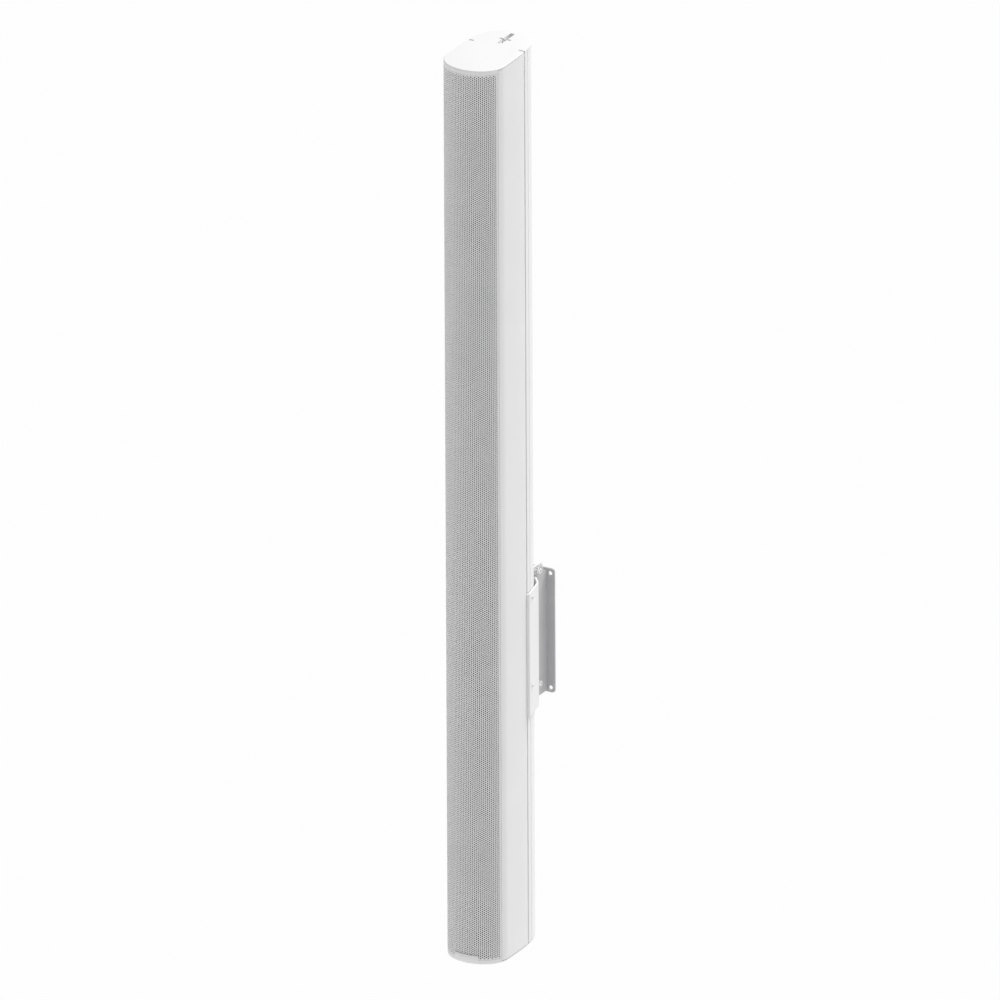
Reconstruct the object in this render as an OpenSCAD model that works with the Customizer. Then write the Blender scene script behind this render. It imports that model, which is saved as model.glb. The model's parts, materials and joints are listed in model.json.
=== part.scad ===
// Wall-hung column loudspeaker with a sliding, tilting bracket.
// Millimetres. Origin at the centre of the four wall screws, on the wall face.
// +Z is up, the wall is at y = 0 and the grille faces -Y.

/* [Column] */
// Height of the column, over both end caps
column_h = 1200; // [900:10:1500]
// Width of the column
column_w = 82; // [76:1:100]
// Length of the straight stretch of each side
side_flat = 20.5; // [16:0.5:30]
// Depth of the bulging front, ahead of the straight stretch
front_depth = 36; // [34:0.5:46]
// Depth of the tapering rear, behind the straight stretch
rear_depth = 81; // [76:1:100]
// Wall of the extrusion
wall = 2.5; // [2:0.1:3.2]
// Height of the wall screws' centre above the foot of the column
bolt_height = 389; // [280:1:520]

/* [Side grooves] */
// Distance of the bracket groove behind the middle of the straight sides
groove_y = 41; // [38:0.5:44]
// Width of the bracket groove
groove_w = 3; // [2.6:0.1:4]
// Depth of the bracket groove
groove_d = 8; // [6:0.5:9]
// Distance from the bracket groove to the screw groove behind it
screw_groove_step = 11; // [9:0.5:13]
// Width of the screw groove
screw_groove_w = 1.6; // [1:0.1:2.5]
// Depth of the screw groove
screw_groove_d = 0.8; // [0.4:0.1:1.2]

/* [Grille and baffle] */
// Distance of the grille's side edges ahead of the middle of the straight sides
grille_edge = 23; // [20:0.5:26]
// Sheet of the grille
grille_t = 1.2; // [0.8:0.1:1.5]
// Thickness of the cloth behind the grille
cloth_t = 1; // [0.6:0.1:1.5]
// Depth of the grille's folded edge
grille_hem = 4; // [3:0.5:5]
// Thickness of the baffle board
baffle_t = 4; // [3:0.5:5]
// Reach of the front lips that hold the baffle
lip_reach = 5; // [4:0.5:6]
// Thickness of the front lips
lip_t = 1.5; // [1.2:0.1:2]
// Thickness of the ledges behind the baffle
ledge_t = 2.4; // [2:0.1:3]

/* [End caps] */
// Thickness of the cap over the extrusion
cap_t = 1.6; // [1.2:0.1:3]
// Height of the cap's rim over the grille
cap_rim_h = 6; // [5:0.5:9]
// Depth of the cap's collar inside the extrusion
collar_h = 14; // [12:1:20]
// Wall of the collar
collar_wall = 2; // [1.6:0.1:2.6]
// Thickness of the seal under each cap
gasket_t = 0.6; // [0.4:0.1:1]
// Length of the safety cable slot
safety_slot_l = 36; // [30:1:40]
// Width of the safety cable slot
safety_slot_w = 6; // [5:0.5:8]
// Depth of the safety cable slot
safety_slot_d = 10; // [9:0.5:12]
// Length of the safety bar
safety_bar_l = 16; // [14:0.5:18]
// Diameter of the safety bar
safety_bar_dia = 3.5; // [3:0.1:4]
// Width of the badge
badge_w = 33; // [24:1:40]
// Height of the badge
badge_h = 10; // [8:0.5:14]
// Thickness of the badge
badge_t = 1.2; // [0.8:0.1:1.6]

/* [Drivers] */
// Number of drivers
driver_count = 12; // [6:1:12]
// Distance of the first and last driver from the ends of the column
driver_margin = 54; // [45:1:70]
// Depth of the driver basket behind the baffle's face
basket_d = 20; // [16:1:24]
// Diameter of the magnet
magnet_dia = 44; // [36:1:48]
// Thickness of the magnet ring
magnet_t = 11.5; // [8:0.5:14]
// Diameter of the voice coil former
coil_dia = 21.8; // [19:0.2:24]
// Travel of the cone each way from rest
cone_travel = 1.5; // [0.5:0.1:2]

/* [Bracket] */
// Gap between the wall and the rear face of the column
wall_gap = 34; // [34:1:60]
// Height of the wall plate
plate_h = 166; // [150:1:190]
// Width of the wall plate
plate_w = 65; // [60:1:80]
// Sheet of the wall plate and its channel
plate_t = 2.5; // [2:0.1:3]
// Spacing across of the wall screws
bolt_dx = 53.4; // [50:0.2:60]
// Spacing upwards of the wall screws
bolt_dz = 153.4; // [130:0.2:176]
// Diameter of the wall screw holes
bolt_hole_dia = 5.5; // [4.5:0.1:7]
// Width of the channel, over both arms
channel_w = 43.4; // [38:0.2:50]
// Height of the saddle
saddle_h = 165; // [140:1:180]
// Sheet of the saddle
saddle_t = 2; // [1.6:0.1:2.5]
// Gap between the column's rear face and the saddle
saddle_gap = 1.4; // [1:0.1:3]
// Diameter of the bracket bolts
bracket_bolt_dia = 4; // [4:0.5:6]
// Steepest tilt of the column, in degrees
tilt_max = 5; // [2:0.5:5]

/* [Hidden] */
DRIVERS = [for (i = [1:driver_count]) i];
function tag(i) = str(i < 10 ? "0" : "", i);
$fn = 48;

white = "whitesmoke";
bracket_grey = "darkgray";
zinc = "lightsteelblue";

// Clearances
slip = 0.3;       // between pieces that slide or swing past each other
fit = 0.05;       // all round a bolt that turns in its hole
overcut = 1;      // how far a cutting tool runs past the face that it cuts
far = 4 * column_w;

// Places of the column: plan distances are measured from the middle of the straight sides
rear_y = side_flat / 2 + rear_depth;
column_y = -wall_gap - rear_y;
foot_z = -bolt_height;
top_z = foot_z + column_h;
front_power = 2.07;   // roundness of the front, 2 being an ellipse
rear_power = 2.67;    // roundness of the rear
arc_steps = 28;       // flats round each half of the outline

// Half width of the outline, brought in by inset all round, at a distance y
function ahead(inset, y) = (-y - side_flat / 2) / (front_depth - inset);
function behind(inset, y) = (y - side_flat / 2) / (rear_depth - inset);
function narrowing(share, power) = share <= 0 ? 1 : pow(1 - pow(share, power), 1 / power);
function half_x(inset, y) =
    (column_w / 2 - inset) * min(
        narrowing(ahead(inset, y), front_power),
        narrowing(behind(inset, y), rear_power)
    );

function rounded(value, power) = sign(value) * pow(abs(value), 2 / power);
function outline_half(inset, from, depth, power, shift) = [
    for (i = [0:arc_steps])
        let (a = from + 180 * i / arc_steps)
        [(column_w / 2 - inset) * rounded(cos(a), power),
         shift + (depth - inset) * rounded(sin(a), power)]
];
function outline(inset) = concat(
    outline_half(inset, 0, rear_depth, rear_power, side_flat / 2),
    outline_half(inset, 180, front_depth, front_power, -side_flat / 2)
);

module plan(inset) {
    polygon(outline(inset));
}

// The band between two insets of the outline
module band(outer, inner) {
    difference() {
        plan(outer);
        plan(inner);
    }
}

// A rectangle that spans the column between two distances
module between_y(from, to) {
    translate([-far / 2, from]) square([far, to - from]);
}

// Both sides of the column
module both_sides() {
    children();
    mirror([1, 0]) children();
}

// Stands a plan drawing between two heights
module stand(from, to) {
    translate([0, column_y, from]) linear_extrude(height = to - from) children();
}

// ---- Extrusion ----

lip_front = -grille_edge + grille_hem - 0.5;
baffle_front = lip_front + lip_t + slip;
ledge_front = baffle_front + baffle_t + slip;
lip_tip = half_x(wall, lip_front + lip_t) - lip_reach;
ledge_tip = lip_tip - 2.6;
rib_wall = 2.5;    // metal left round the bracket groove
groove_x = half_x(0, groove_y) - groove_d;
screw_groove_y = groove_y + screw_groove_step;
end_gap = cap_t + gasket_t;

module grooves() {
    both_sides() {
        translate([groove_x, groove_y - groove_w / 2]) square([far, groove_w]);
        translate([half_x(0, screw_groove_y) - screw_groove_d, screw_groove_y - screw_groove_w / 2])
            square([far, screw_groove_w]);
    }
}

module groove_rib(grow) {
    both_sides()
        translate([groove_x - rib_wall - grow, groove_y - groove_w / 2 - rib_wall - grow])
            square([far, groove_w + 2 * rib_wall + 2 * grow]);
}

module lip_and_ledge() {
    both_sides() {
        translate([lip_tip, lip_front]) square([far, lip_t]);
        translate([ledge_tip, ledge_front]) square([far, ledge_t]);
    }
}

module extrusion_profile() {
    difference() {
        union() {
            band(0, wall);
            intersection() {
                plan(wall / 2);
                union() {
                    groove_rib(0);
                    lip_and_ledge();
                }
            }
        }
        between_y(-far, -grille_edge);
        grooves();
    }
}

module body_extrusion() {
    color(white)
        difference() {
            stand(foot_z + end_gap, top_z - end_gap) extrusion_profile();
            cap_screw_places() screw_hole(0.2);
        }
}

// ---- Cap screws: countersunk, through the rear wall into the caps' collars ----

cap_screw_x = 13;
cap_screw_dia = 3;
cap_screw_head = 6;
cap_screw_l = 10;
cap_screw_sunk = 0.3;          // head's face below the rear face
cap_screw_inset = cap_t + 7;   // from the end of the column to the screws
cap_screw_y = column_y + side_flat / 2 + rear_depth * narrowing(
    cap_screw_x / (column_w / 2), rear_power);

// Each screw lies along +Y, with its head's face at the origin
module cap_screw_places() {
    for (x = [-cap_screw_x, cap_screw_x], z = [foot_z + cap_screw_inset, top_z - cap_screw_inset])
        translate([x, cap_screw_y, z]) rotate([90, 0, 0]) children();
}

// The screw, or with play the hole that it passes through
module screw_shape(play) {
    head_h = (cap_screw_head - cap_screw_dia) / 2;
    translate([0, 0, cap_screw_sunk]) {
        cylinder(h = head_h, d1 = cap_screw_head, d2 = cap_screw_dia);
        cylinder(h = cap_screw_l, d = cap_screw_dia + play);
    }
}

module screw_hole(play) {
    screw_shape(play);
    translate([0, 0, -overcut]) cylinder(h = overcut + cap_screw_sunk, d = cap_screw_head);
}

module cap_screws() {
    drive_d = 2;
    drive_h = 1;
    color(zinc)
        cap_screw_places()
            difference() {
                screw_shape(0);
                translate([0, 0, cap_screw_sunk - overcut])
                    cylinder(h = drive_h + overcut, d = drive_d, $fn = 6);
            }
}

// ---- End caps ----

collar_front = ledge_front + ledge_t + 1;
screw_block_w = 9;
screw_block_y = rear_y - wall - slip - cap_screw_l;

module collar_profile() {
    difference() {
        union() {
            band(wall + slip, wall + slip + collar_wall);
            intersection() {
                plan(wall + slip);
                both_sides()
                    translate([cap_screw_x - screw_block_w / 2, screw_block_y])
                        square([screw_block_w, far]);
            }
        }
        between_y(-far, collar_front);
        groove_rib(slip);
    }
}

// A cap lying on its outer face, at z = 0, with its collar upwards
module cap_blank() {
    difference() {
        union() {
            linear_extrude(height = cap_t) plan(0);
            linear_extrude(height = cap_rim_h)
                intersection() {
                    band(0, grille_t + cloth_t + 2);
                    between_y(-far, -grille_edge - slip);
                }
            linear_extrude(height = collar_h) collar_profile();
        }
        translate([0, 0, -overcut]) linear_extrude(height = collar_h + 2 * overcut)
            both_sides()
                translate([groove_x, groove_y - groove_w / 2]) square([far, groove_w]);
    }
}

module place_bottom() {
    translate([0, column_y, foot_z]) children();
}

module place_top() {
    translate([0, column_y, top_z]) mirror([0, 0, 1]) children();
}

safety_y = groove_y + safety_slot_w + safety_slot_l / 2;
safety_bar_y = safety_y - 2;
safety_bar_z = safety_bar_dia / 2 + 0.6;   // below the top face
safety_floor = 1.6;
safety_wall = 2;

// A slot with round ends along Y, centred on the origin
module slot_y(length, width) {
    square([width, length - width], center = true);
    for (side = [-1, 1])
        translate([0, side * (length - width) / 2]) circle(d = width);
}

module top_cap() {
    pocket_w = safety_slot_w + 2 * safety_wall;
    color(white)
        difference() {
            place_top()
                difference() {
                    union() {
                        cap_blank();
                        translate([0, safety_y, 0])
                            linear_extrude(height = safety_slot_d + safety_floor)
                                slot_y(safety_slot_l + 2 * safety_wall, pocket_w);
                        translate([0, safety_bar_y, 0])
                            linear_extrude(height = safety_bar_z + safety_bar_dia / 2 + safety_wall)
                                square([safety_bar_l + 2 * safety_wall, safety_bar_dia + 2 * safety_wall],
                                       center = true);
                    }
                    translate([0, safety_y, -overcut])
                        linear_extrude(height = safety_slot_d + overcut)
                            slot_y(safety_slot_l, safety_slot_w);
                    translate([0, safety_bar_y, -overcut])
                        linear_extrude(height = safety_bar_z + safety_bar_dia / 2 + overcut)
                            square([safety_bar_l, safety_bar_dia], center = true);
                }
            cap_screw_places() screw_hole(0);
        }
}

module safety_bar() {
    length = safety_bar_l - 0.4;
    color(zinc)
        translate([-length / 2, column_y + safety_bar_y, top_z - safety_bar_z])
            rotate([0, 90, 0]) cylinder(h = length, d = safety_bar_dia);
}

// ---- Cable gland ----

gland_y = 58;
gland_thread_dia = 16;
gland_bore_dia = 8;
gland_flange_dia = 21;
gland_flange_h = 4;
gland_dome_h = 7;

module bottom_cap() {
    color(white)
        difference() {
            place_bottom()
                difference() {
                    cap_blank();
                    translate([0, gland_y, -overcut])
                        cylinder(h = cap_t + 2 * overcut, d = gland_thread_dia + 0.2);
                }
            cap_screw_places() screw_hole(0);
        }
}

module cable_gland() {
    nut_h = 4;
    color("dimgray")
        place_bottom() translate([0, gland_y, 0])
            difference() {
                union() {
                    translate([0, 0, -gland_flange_h])
                        cylinder(h = gland_flange_h, d = gland_flange_dia, $fn = 6);
                    translate([0, 0, -gland_flange_h - gland_dome_h])
                        cylinder(h = gland_dome_h, d1 = gland_bore_dia + 4, d2 = gland_flange_dia - 4);
                    cylinder(h = cap_t + nut_h + 2, d = gland_thread_dia);
                    translate([0, 0, cap_t])
                        cylinder(h = nut_h, d = gland_flange_dia, $fn = 6);
                }
                translate([0, 0, -gland_flange_h - gland_dome_h - overcut])
                    cylinder(h = gland_flange_h + gland_dome_h + cap_t + nut_h + 2 + 2 * overcut,
                             d = gland_bore_dia);
            }
}

// ---- Seals ----

gasket_inset = 0.6;

module gasket_ring() {
    difference() {
        band(gasket_inset, wall - 0.1);
        between_y(-far, -grille_edge + slip);
        both_sides()
            translate([groove_x, groove_y - groove_w / 2]) square([far, groove_w]);
    }
}

module cap_gaskets() {
    color("dimgray") {
        stand(foot_z + cap_t, foot_z + end_gap) gasket_ring();
        stand(top_z - end_gap, top_z - cap_t) gasket_ring();
    }
}

// ---- Grille, cloth and badge ----

grille_foot = foot_z + cap_rim_h + slip;
grille_top = top_z - cap_rim_h - slip;
hem_x = half_x(wall, -grille_edge) - slip;   // outer face of the folded edge

module grille_profile() {
    intersection() {
        band(0, grille_t);
        between_y(-far, -grille_edge - slip);
    }
    both_sides() {
        translate([hem_x - grille_t, -grille_edge - slip - grille_t])
            square([half_x(0, -grille_edge - slip) - hem_x + grille_t - 0.4, grille_t]);
        translate([hem_x - grille_t, -grille_edge - slip - grille_t])
            square([grille_t, grille_hem - 0.5 - slip + grille_t]);
    }
}

module grille() {
    color("silver") stand(grille_foot, grille_top) grille_profile();
}

module grille_cloth() {
    gap = grille_t + 0.1;
    color([0.3, 0.3, 0.3])
        stand(grille_foot, grille_top)
            intersection() {
                band(gap, gap + cloth_t);
                between_y(-far, -grille_edge - slip - grille_t - 0.2);
            }
}

module badge() {
    badge_foot = foot_z + 2;
    color("gainsboro")
        stand(badge_foot, badge_foot + badge_h)
            intersection() {
                band(-badge_t, 0);
                translate([-badge_w / 2, -far]) square([badge_w, far]);
            }
}

// ---- Baffle and drivers ----

baffle_half_w = half_x(wall, baffle_front) - slip;
baffle_foot = foot_z + cap_rim_h + slip;
baffle_top = top_z - cap_rim_h - slip;
frame_half = lip_tip - 0.6;       // half width of a driver's square front plate
frame_t = 1.6;
frame_corner = 10;
mouth_r = frame_half - 4;         // opening of the front plate
cup_wall = 1.2;
cup_r = mouth_r + 0.6;            // outside of the basket where it passes the baffle
cutout_r = cup_r + 0.4;
coil_r = coil_dia / 2;
back_r = magnet_dia / 2 - 1.5;    // rear of the basket
back_t = 1.5;
coil_gap = 0.9;                   // clear each side of the voice coil
yoke_t = 3;
driver_screw_at = frame_half - 5;
driver_screw_dia = 3;

function driver_z(i) =
    foot_z + driver_margin
    + (i - 1) * (column_h - 2 * driver_margin) / max(1, driver_count - 1);

// Driver drawing: z = 0 on the baffle's front face, +Z towards the listener
module place_driver(i) {
    translate([0, column_y + baffle_front, driver_z(i)]) rotate([90, 0, 0]) children();
}

module driver_screw_places() {
    for (x = [-driver_screw_at, driver_screw_at], y = [-driver_screw_at, driver_screw_at])
        translate([x, y, 0]) children();
}

module baffle() {
    color([0.35, 0.36, 0.38])
        difference() {
            translate([-baffle_half_w, column_y + baffle_front, baffle_foot])
                cube([2 * baffle_half_w, baffle_t, baffle_top - baffle_foot]);
            for (i = DRIVERS)
                place_driver(i) {
                    translate([0, 0, -baffle_t - overcut])
                        cylinder(h = baffle_t + 2 * overcut, r = cutout_r);
                    driver_screw_places()
                        translate([0, 0, -baffle_t - overcut])
                            cylinder(h = baffle_t + 2 * overcut, d = driver_screw_dia);
                }
        }
}

module frame_plate() {
    corner = frame_half - frame_corner;
    square([2 * frame_half, 2 * corner], center = true);
    square([2 * corner, 2 * frame_half], center = true);
    for (x = [-corner, corner], y = [-corner, corner])
        translate([x, y]) circle(r = frame_corner);
}

module driver_frame(i) {
    shoulder = baffle_t + 1;
    window_w = 18;
    color([0.2, 0.2, 0.22])
        place_driver(i)
            difference() {
                union() {
                    linear_extrude(height = frame_t)
                        difference() {
                            frame_plate();
                            circle(r = mouth_r);
                            driver_screw_places() circle(d = driver_screw_dia);
                        }
                    rotate_extrude()
                        polygon([
                            [mouth_r, frame_t / 2], [cup_r, frame_t / 2], [cup_r, -shoulder],
                            [back_r, -basket_d], [back_r, -basket_d - back_t],
                            [coil_r + coil_gap, -basket_d - back_t], [coil_r + coil_gap, -basket_d],
                            [back_r - cup_wall, -basket_d], [mouth_r - 0.4, -shoulder],
                            [mouth_r - 0.4, 0], [mouth_r, 0]
                        ]);
                }
                for (turn = [0:90:270])
                    rotate(turn)
                        translate([coil_r + 4, -window_w / 2, -basket_d + 1])
                            cube([far, window_w, basket_d - shoulder - 2]);
            }
}

module driver_magnet(i) {
    front = -basket_d - back_t;
    pole_r = coil_r - 0.8 - coil_gap;
    color([0.28, 0.27, 0.27])
        place_driver(i)
            rotate_extrude()
                polygon([
                    [0, front], [pole_r, front], [pole_r, front - magnet_t],
                    [coil_r + coil_gap, front - magnet_t], [coil_r + coil_gap, front],
                    [magnet_dia / 2, front], [magnet_dia / 2, front - magnet_t],
                    [magnet_dia / 2 - 1, front - magnet_t],
                    [magnet_dia / 2 - 1, front - magnet_t - yoke_t],
                    [0, front - magnet_t - yoke_t]
                ]);
}

module driver_cone(i) {
    rim_r = mouth_r - 0.8;             // outside of the rubber surround
    roll_r = 2.2;
    skin = 0.8;
    neck_z = -12;
    cone_r = rim_r - 2 * roll_r;       // outside of the paper cone
    dome_r = 14;
    dome_z = neck_z - sqrt(dome_r * dome_r - coil_r * coil_r);
    former_end = -basket_d - back_t - magnet_t + cone_travel + 1;   // clear of the yoke
    former_l = neck_z + 0.5 - former_end;
    color([0.16, 0.16, 0.17])
        place_driver(i) {
            rotate_extrude()
                translate([rim_r - roll_r, 0.4])
                    intersection() {
                        difference() {
                            circle(r = roll_r);
                            circle(r = roll_r - skin);
                        }
                        translate([-roll_r, 0]) square([2 * roll_r, roll_r]);
                    }
            rotate_extrude()
                polygon([
                    [cone_r, 0.4], [cone_r + skin, 0.4], [coil_r + 0.4, neck_z], [coil_r - 0.6, neck_z]
                ]);
            rotate_extrude()
                intersection() {
                    translate([0, dome_z])
                        difference() {
                            circle(r = dome_r + skin);
                            circle(r = dome_r);
                        }
                    translate([0, neck_z]) square([coil_r + 0.2, dome_r]);
                }
            translate([0, 0, former_end])
                difference() {
                    cylinder(h = former_l, r = coil_r);
                    translate([0, 0, -overcut])
                        cylinder(h = former_l + 2 * overcut, r = coil_r - skin);
                }
        }
}

module driver_screws() {
    shank = frame_t + baffle_t + 2;
    color(zinc)
        for (i = DRIVERS)
            place_driver(i) driver_screw_places() {
                translate([0, 0, frame_t - shank]) cylinder(h = shank, d = driver_screw_dia);
                translate([0, 0, frame_t]) cylinder(h = 2, d1 = 5.6, d2 = 4.6);
            }
}

// ---- Inside the column: line transformer, terminal block and damping foam ----

magnet_rear = column_y + baffle_front + basket_d + back_t + magnet_t + yoke_t;
core = [42, 40, 50];
core_foot = foot_z + 62;
core_y = magnet_rear + 7.7;       // room behind the magnets
block_y = magnet_rear + 3.7;
strap_t = 1.6;
foot_l = 12;

module transformer() {
    window = [core[0] / 4, core[1], core[2] / 2];
    coil = [core[0] * 0.72, core[1] + 0.2, core[2] * 0.5 - 1];
    color([0.32, 0.28, 0.22]) {
        translate([-core[0] / 2, core_y + core[1] * 0.2, core_foot])
            difference() {
                cube([core[0], core[1] * 0.6, core[2]]);
                for (side = [0.13, 0.62])
                    translate([core[0] * side, -overcut, core[2] / 4])
                        cube([window[0], window[1] + 2 * overcut, window[2]]);
            }
        translate([-coil[0] / 2, core_y - 0.1, core_foot + core[2] / 4 + 0.5]) cube(coil);
    }
}

module transformer_bracket() {
    back = core_y + core[1] * 0.8;
    color("silver")
        for (end = [0, 1])
            translate([0, 0, core_foot + core[2] / 2])
                mirror([0, 0, end])
                    translate([-10, back, core[2] / 2]) {
                        translate([0, -core[1] * 0.6, 0]) cube([20, core[1] * 0.6 + 2, strap_t]);
                        translate([0, 2, 0]) cube([20, strap_t, foot_l]);
                        translate([8, 2, foot_l - 4])
                            cube([4, column_y + rear_y - wall - 0.2 - back - 2, 3]);
                    }
}

module terminal_block() {
    ways = 6;
    way_w = 7;
    color("darkslategray")
        translate([-ways * way_w / 2, block_y, foot_z + 26])
            difference() {
                cube([ways * way_w, 16, 14]);
                for (i = [0:ways - 1])
                    translate([(i + 0.5) * way_w, 0, 0]) {
                        translate([0, 4, 6]) cylinder(h = 20, d = 3.6);
                        translate([0, 12, 6]) cylinder(h = 20, d = 3.6);
                    }
            }
}

module damping_foam() {
    foam_t = 12;
    foam_foot = core_foot + core[2] + 70;
    color([0.45, 0.45, 0.43])
        stand(foam_foot, top_z - collar_h - 20)
            intersection() {
                band(wall + 1, wall + 1 + foam_t);
                between_y(groove_y + groove_w / 2 + rib_wall + 2, far);
            }
}

// ---- Saddle: the bracket half that grips the column's side grooves ----

saddle_foot = -plate_h / 2;
saddle_top = saddle_foot + saddle_h;
saddle_back = rear_y + saddle_gap;      // its inner face behind the column
hook_t = groove_w - 2 * 0.4;
hook_tip = groove_x + 1.2;
bend_r = 1.5;

// The flat cheek lies along the column's tapering side, nearest to it at touch_y
cheek_gap = 0.4;
touch_y = groove_y + 15;
touch_span = 12;
cheek_slope = (half_x(0, touch_y - touch_span / 2) - half_x(0, touch_y + touch_span / 2)) / touch_span;
function cheek_x(y) = half_x(0, touch_y) + cheek_gap + cheek_slope * (touch_y - y);
heel_y = saddle_back - 13.5;                  // where the cheek ends and turns behind the column
back_half_w = cheek_x(heel_y) - 10.5;         // inside half width of the flat back

// Points of an arc that rounds the corner b between a and c
function unit(v) = v / norm(v);
function corner_arc(a, b, c, r, steps = 5) =
    let (
        u = unit(a - b),
        v = unit(c - b),
        half = acos(u * v) / 2,
        centre = b + unit(u + v) * r / sin(half),
        start = b + u * r / tan(half) - centre,
        turn = sign(u[1] * v[0] - u[0] * v[1]) * (180 - 2 * half)
    )
    [for (i = [0:steps])
        let (t = turn * i / steps)
        centre + [start[0] * cos(t) - start[1] * sin(t), start[0] * sin(t) + start[1] * cos(t)]];

// The saddle's right half as a bent strip: the line of its inner or outer face
function saddle_line(out, r) =
    let (
        tip = [hook_tip, groove_y + hook_t / 2 - (out > 0 ? hook_t : 0)],
        elbow = [cheek_x(tip[1]) + out, tip[1]],
        heel = [cheek_x(heel_y) + out, heel_y + out / 3],
        back = [back_half_w + out / 3, saddle_back + out],
        middle = [0, back[1]]
    )
    concat(
        [tip],
        corner_arc(tip, elbow, heel, max(0.5, r - 1)),
        corner_arc(elbow, heel, back, r),
        corner_arc(heel, back, middle, r)
    );

function backwards(points) = [for (i = [len(points) - 1:-1:0]) points[i]];
function mirrored(points) = [for (p = points) [-p[0], p[1]]];

module saddle_profile() {
    inner = saddle_line(0, bend_r);
    outer = saddle_line(saddle_t, bend_r + saddle_t);
    polygon(concat(inner, mirrored(backwards(inner)), mirrored(outer), backwards(outer)));
}

// ---- Tilt geometry ----

arm_x = channel_w / 2;                 // outer face of each arm
ear_x = arm_x - plate_t - 0.4;         // outer face of each saddle ear
back_face = column_y + saddle_back + saddle_t;
bolt_r = bracket_bolt_dia / 2;
bolt_y = back_face + 5.6;
pivot = [bolt_y, saddle_foot + 20];    // y and z of the tilt axis
lock = [bolt_y, saddle_top + 6];       // y and z of the lock bolts
reach = lock[1] - pivot[1];
slot_r = bolt_r + 0.2;
ear_t = 2.5;
ear_edge = 5;                          // metal from a bolt's centre to the ear's edge
ear_rear = pivot[0] + ear_edge;
ear_rear_top = lock[0] + reach * sin(tilt_max) + slot_r + 2.4;
ear_top = lock[1] + ear_edge;

// A drawing in Y (across) and Z (up), given a thickness along +X from x = from
module side_plate(from, thickness) {
    translate([from, 0, 0]) rotate([90, 0, 90]) linear_extrude(height = thickness) children();
}

module across(from, length, place, radius) {
    translate([from, place[0], place[1]]) rotate([0, 90, 0]) cylinder(h = length, r = radius);
}

module both_arms() {
    children();
    mirror([1, 0, 0]) children();
}

// The curved slots in the ears that pass the lock bolts as the column tilts forward
module lock_slot() {
    span = 2 * (ear_x + overcut);
    translate([-span / 2, pivot[0], pivot[1]])
        rotate([90, 0, 90]) {
            rotate([0, 0, 90 - tilt_max])
                rotate_extrude(angle = tilt_max, $fn = 200)
                    translate([reach - slot_r, 0]) square([2 * slot_r, span]);
            for (turn = [0, tilt_max])
                rotate([0, 0, 90 - turn])
                    translate([reach, 0, 0]) cylinder(h = span, r = slot_r);
        }
}

// Clamp screws in the saddle's cheeks, square to the cheek
cheek_lean = atan(cheek_slope);
clamp_x = cheek_x(screw_groove_y);
clamp_dia = 5;
clamp_z = [saddle_top - 9, saddle_foot + 38];
clamp_tip = clamp_x - half_x(0, screw_groove_y) - slip;

module clamp_places() {
    both_arms()
        for (z = clamp_z)
            translate([clamp_x, column_y + screw_groove_y, z])
                rotate([0, 0, cheek_lean]) rotate([0, 90, 0]) children();
}

module saddle() {
    color(white)
        difference() {
            union() {
                translate([0, column_y, saddle_foot]) linear_extrude(height = saddle_h) saddle_profile();
                both_arms()
                    side_plate(ear_x - ear_t, ear_t)
                        polygon([
                            [back_face - 0.2, saddle_foot + 8], [ear_rear - 4, saddle_foot + 8],
                            [ear_rear, saddle_foot + 12], [ear_rear, saddle_top - 42],
                            [ear_rear_top, saddle_top - 18], [ear_rear_top, ear_top - 4],
                            [ear_rear_top - 4, ear_top], [back_face + 1, ear_top],
                            [back_face + 0.2, saddle_top], [back_face - 0.2, saddle_top]
                        ]);
            }
            across(-ear_x - overcut, 2 * ear_x + 2 * overcut, pivot, bolt_r);
            lock_slot();
            clamp_places()
                translate([0, 0, -3]) cylinder(h = 6 + saddle_t, d = clamp_dia);
        }
}

module saddle_screws() {
    head_out = saddle_t + 1.2;
    point_h = 1;
    point_d = 1.2;
    color(zinc)
        clamp_places()
            difference() {
                union() {
                    translate([0, 0, -clamp_tip + point_h])
                        cylinder(h = head_out + clamp_tip - point_h, d = clamp_dia);
                    translate([0, 0, -clamp_tip])
                        cylinder(h = point_h, d1 = point_d, d2 = clamp_dia);
                }
                translate([0, 0, head_out - 2]) cylinder(h = 2 + overcut, d = 2.9, $fn = 6);
            }
}

// ---- Bolts and nuts that join the saddle to the wall bracket ----

washer_t = 1;
washer_r = bolt_r + 2;
head_r = bolt_r + 1.5;
head_h = 3;
nut_h = 4;
nut_r = bolt_r + 2.1;

module bracket_bolt(place) {
    under_head = arm_x + slip;
    tip = ear_x - ear_t - slip - nut_h - 1;
    difference() {
        union() {
            across(tip, under_head - tip, place, bolt_r);
            across(under_head, washer_t, place, washer_r);
            across(under_head + washer_t, head_h, place, head_r);
        }
        translate([under_head + washer_t + head_h - 1.8, place[0], place[1]])
            rotate([0, 90, 0]) cylinder(h = 1.8 + overcut, d = 2.8, $fn = 6);
    }
}

module bracket_nut(place) {
    difference() {
        translate([ear_x - ear_t - slip - nut_h, place[0], place[1]])
            rotate([0, 90, 0]) cylinder(h = nut_h, r = nut_r, $fn = 6);
        across(ear_x - ear_t - slip - nut_h - overcut, nut_h + 2 * overcut, place, bolt_r);
    }
}

module pivot_bolts() {
    color(zinc) both_arms() bracket_bolt(pivot);
}

module lock_bolts() {
    color(zinc) both_arms() bracket_bolt(lock);
}

module pivot_nuts() {
    color(zinc) both_arms() bracket_nut(pivot);
}

module lock_nuts() {
    color(zinc) both_arms() bracket_nut(lock);
}

// ---- Wall bracket ----

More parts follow.
